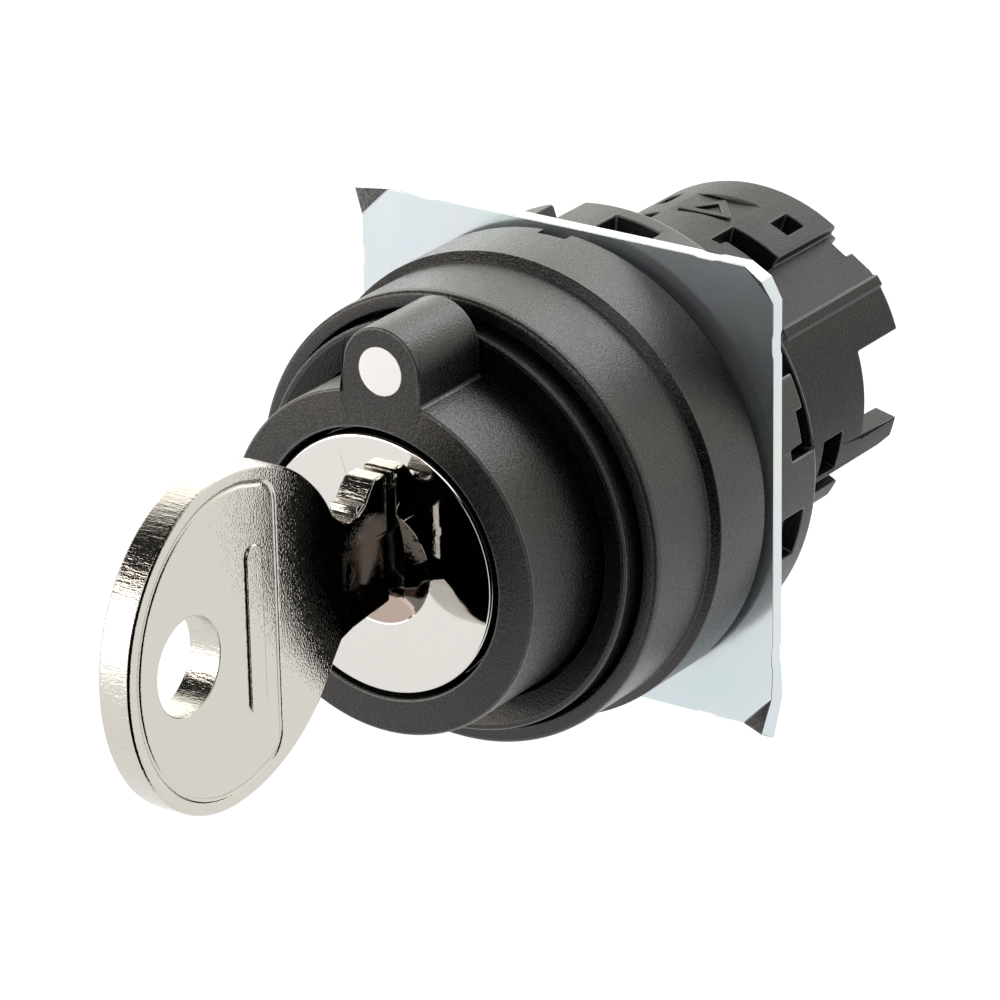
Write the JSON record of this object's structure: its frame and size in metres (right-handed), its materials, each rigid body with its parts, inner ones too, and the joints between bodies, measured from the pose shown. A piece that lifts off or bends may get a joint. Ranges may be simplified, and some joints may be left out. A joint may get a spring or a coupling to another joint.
{
  "type": "selector key switch",
  "caption": "Panel-mount key selector switch: two-step round bezel, turning sleeve with pointer lug and white dot, chrome lock face, flat key, square lock plate, ring nut and rear case",
  "frame": {"origin": "on the axis of rotation, in the plane where the front of the panel meets the gasket", "axes": "the turning axis is Y; the key side faces -Y and the case behind the panel is +Y; +Z is twelve o'clock, where the pointer lug stands; +X is to the right as seen from the key side"},
  "size_m": [0.03, 0.0677, 0.03],
  "materials": {
    "case_plastic": "black glass-filled moulding, fine speckle",
    "bezel_plastic": "black, fine spark texture",
    "guide_ring_plastic": "black, satin",
    "gasket_rubber": "black rubber",
    "seal_rubber": "black rubber",
    "housing_zinc": "die-cast zinc alloy",
    "carrier_plastic": "black moulding",
    "leaf_steel": "rolled spring strip",
    "cap_brass": "turned",
    "spring_steel": "drawn wire",
    "ball_steel": "ground and polished",
    "sleeve_plastic": "black, textured front face",
    "dot_white": "white filled index mark",
    "face_chrome": "bright chrome plate",
    "core_zinc": "die-cast zinc alloy",
    "clip_steel": "spring steel",
    "cam_plastic": "natural acetal",
    "screw_steel": "zinc plated",
    "key_nickel": "satin nickel plate on brass",
    "wafer_brass": "stamped",
    "pusher_plastic": "natural acetal",
    "plate_zinc": "bright zinc plate, clear passivated",
    "nut_plastic": "black moulding"
  },
  "bodies": {
    "operator_body": {"case": "case_plastic", "bezel": "bezel_plastic", "guide_ring": "guide_ring_plastic", "panel_gasket": "gasket_rubber", "shaft_seal": "seal_rubber", "lock_housing": "housing_zinc", "pusher_carrier": "carrier_plastic", "latch_leaf": "leaf_steel", "detent_cap": "cap_brass", "detent_spring": "spring_steel"},
    "rotor": {"rotor_sleeve": "sleeve_plastic", "index_dot": "dot_white", "plug_face": "face_chrome", "plug_core": "core_zinc", "plug_clip": "clip_steel", "drive_cam": "cam_plastic", "cam_screw": "screw_steel"},
    "key_body": {"key": "key_nickel"},
    "wafer_body_1": {"wafer_1": "wafer_brass"},
    "wafer_body_2": {"wafer_2": "wafer_brass"},
    "wafer_body_3": {"wafer_3": "wafer_brass"},
    "wafer_body_4": {"wafer_4": "wafer_brass"},
    "wafer_body_5": {"wafer_5": "wafer_brass"},
    "detent_body": {"detent_ball": "ball_steel"},
    "pusher_body_right": {"pusher_right": "pusher_plastic"},
    "pusher_body_left": {"pusher_left": "pusher_plastic"},
    "plate_body": {"lock_plate": "plate_zinc"},
    "nut_body": {"ring_nut": "nut_plastic"}
  },
  "joints": [
    {"name": "rotor_turn", "type": "hinge", "parent": "operator_body", "child": "rotor", "pos_m": [0, 0, 0], "axis": [0, 1, 0], "range_deg": [-45, 45]},
    {"name": "key_slide", "type": "slide", "parent": "rotor", "child": "key_body", "axis": [0, -1, 0], "range_m": [0, 0.022]},
    {"name": "wafer_slide_1", "type": "slide", "parent": "rotor", "child": "wafer_body_1", "axis": [0, 0, 1], "range_m": [0, 0.0004]},
    {"name": "wafer_slide_2", "type": "slide", "parent": "rotor", "child": "wafer_body_2", "axis": [0, 0, -1], "range_m": [0, 0.0004]},
    {"name": "wafer_slide_3", "type": "slide", "parent": "rotor", "child": "wafer_body_3", "axis": [0, 0, 1], "range_m": [0, 0.0004]},
    {"name": "wafer_slide_4", "type": "slide", "parent": "rotor", "child": "wafer_body_4", "axis": [0, 0, -1], "range_m": [0, 0.0004]},
    {"name": "wafer_slide_5", "type": "slide", "parent": "rotor", "child": "wafer_body_5", "axis": [0, 0, 1], "range_m": [0, 0.0004]},
    {"name": "detent_lift", "type": "slide", "parent": "operator_body", "child": "detent_body", "axis": [0, 0, -1], "range_m": [0, 0.0004], "stiffness_N_per_m": 300, "springref_m": -0.0003, "deforming": ["detent_spring"]},
    {"name": "pusher_slide_right", "type": "slide", "parent": "operator_body", "child": "pusher_body_right", "axis": [0, 1, 0], "range_m": [-0.00142, 0.00142]},
    {"name": "pusher_slide_left", "type": "slide", "parent": "operator_body", "child": "pusher_body_left", "axis": [0, 1, 0], "range_m": [-0.00142, 0.00142]},
    {"name": "plate_slide", "type": "slide", "parent": "operator_body", "child": "plate_body", "axis": [0, 1, 0], "range_m": [0, 0.003]},
    {"name": "nut_turn", "type": "hinge", "parent": "plate_body", "child": "nut_body", "pos_m": [0, 0, 0], "axis": [0, 1, 0], "range_deg": [0, 720]}
  ],
  "couplings": [
    {"joint": "wafer_slide_1", "follows": "key_slide", "ratio": 0.018},
    {"joint": "wafer_slide_2", "follows": "key_slide", "ratio": 0.018},
    {"joint": "wafer_slide_3", "follows": "key_slide", "ratio": 0.018},
    {"joint": "wafer_slide_4", "follows": "key_slide", "ratio": 0.018},
    {"joint": "wafer_slide_5", "follows": "key_slide", "ratio": 0.018},
    {"joint": "pusher_slide_right", "follows": "rotor_turn", "m_per_rad": 0.0018},
    {"joint": "pusher_slide_left", "follows": "rotor_turn", "m_per_rad": -0.0018},
    {"joint": "plate_slide", "follows": "nut_turn", "m_per_rad": 0.0002387}
  ]
}
